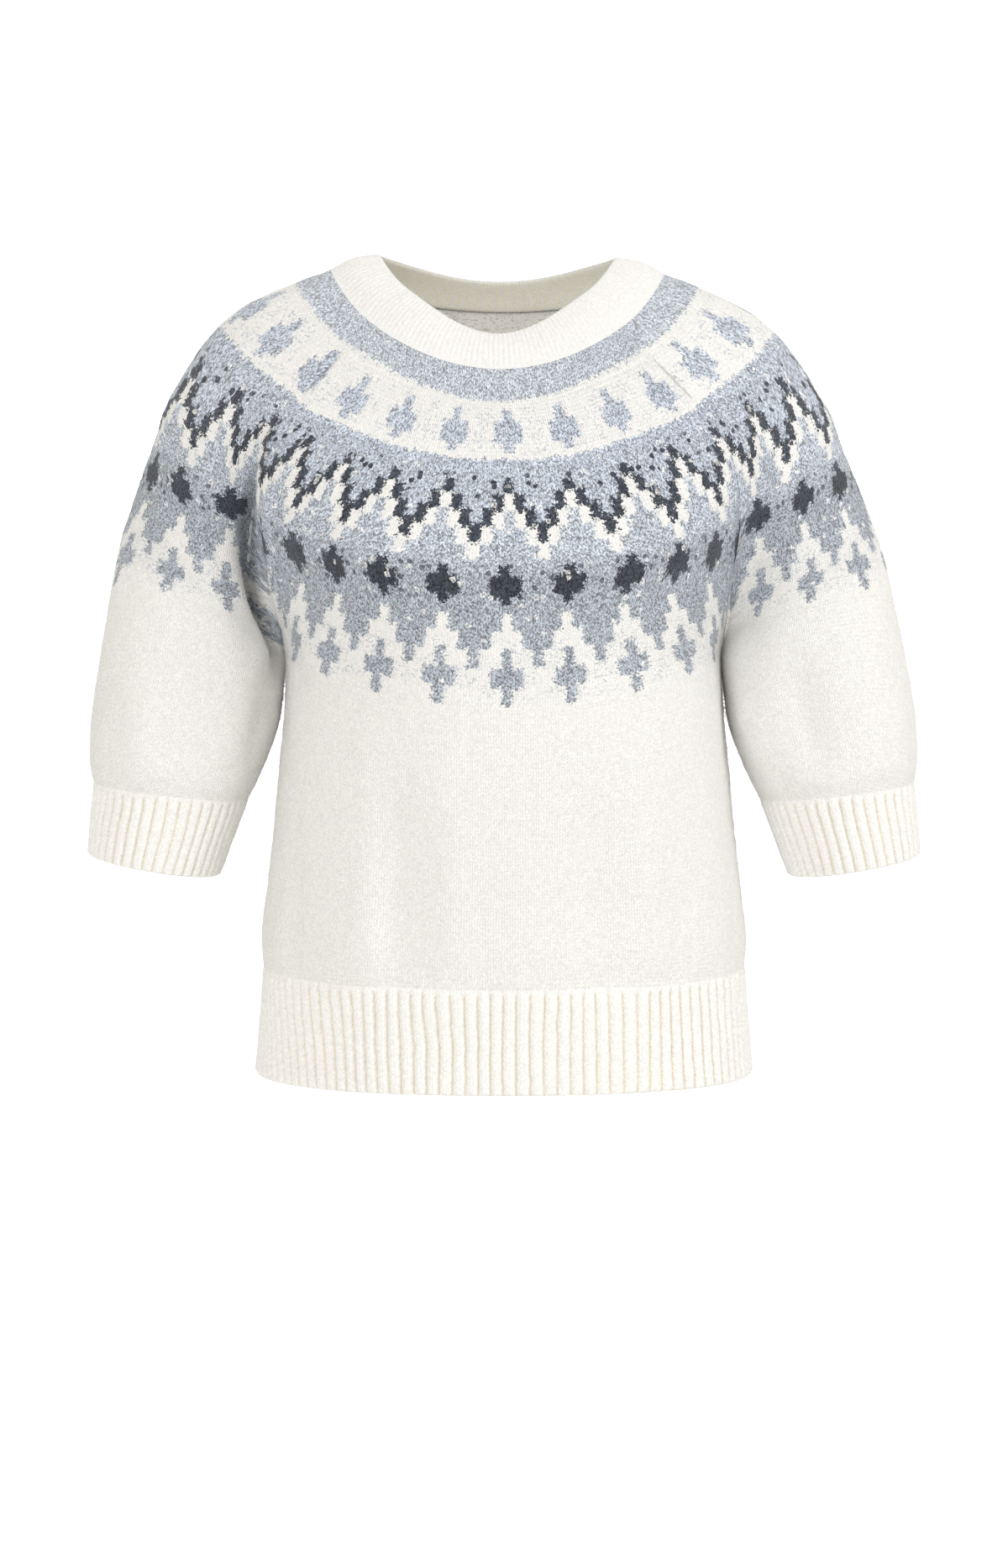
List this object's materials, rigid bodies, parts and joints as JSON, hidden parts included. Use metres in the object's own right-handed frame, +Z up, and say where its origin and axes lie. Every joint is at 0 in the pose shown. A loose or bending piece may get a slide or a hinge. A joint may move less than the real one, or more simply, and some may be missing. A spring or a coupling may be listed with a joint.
{
  "type": "nordic yoke sweater",
  "caption": "Worn, hollow round-yoke sweater with short wide sleeves, a deep ribbed hem, ribbed cuffs and neckband, and a traditional patterned yoke.",
  "frame": {"origin": "midway between the shoulders at the base of the neck, where a wearer carries the sweater", "axes": "+Z up, the front of the sweater faces -Y, the wearer's left sleeve is at +X"},
  "size_m": [0.577, 0.2474, 0.5629],
  "materials": {
    "yoke_knit": "soft brushed wool, cream, with a blue-grey and charcoal pattern over the yoke",
    "rib_knit": "soft brushed wool rib, cream"
  },
  "bodies": {
    "root": {"front_panel": "yoke_knit", "back_panel": "yoke_knit", "sleeve_left": "yoke_knit", "sleeve_right": "yoke_knit", "neckband": "rib_knit", "hem_rib_front": "rib_knit", "hem_rib_back": "rib_knit", "cuff_left": "rib_knit", "cuff_right": "rib_knit"}
  },
  "joints": []
}
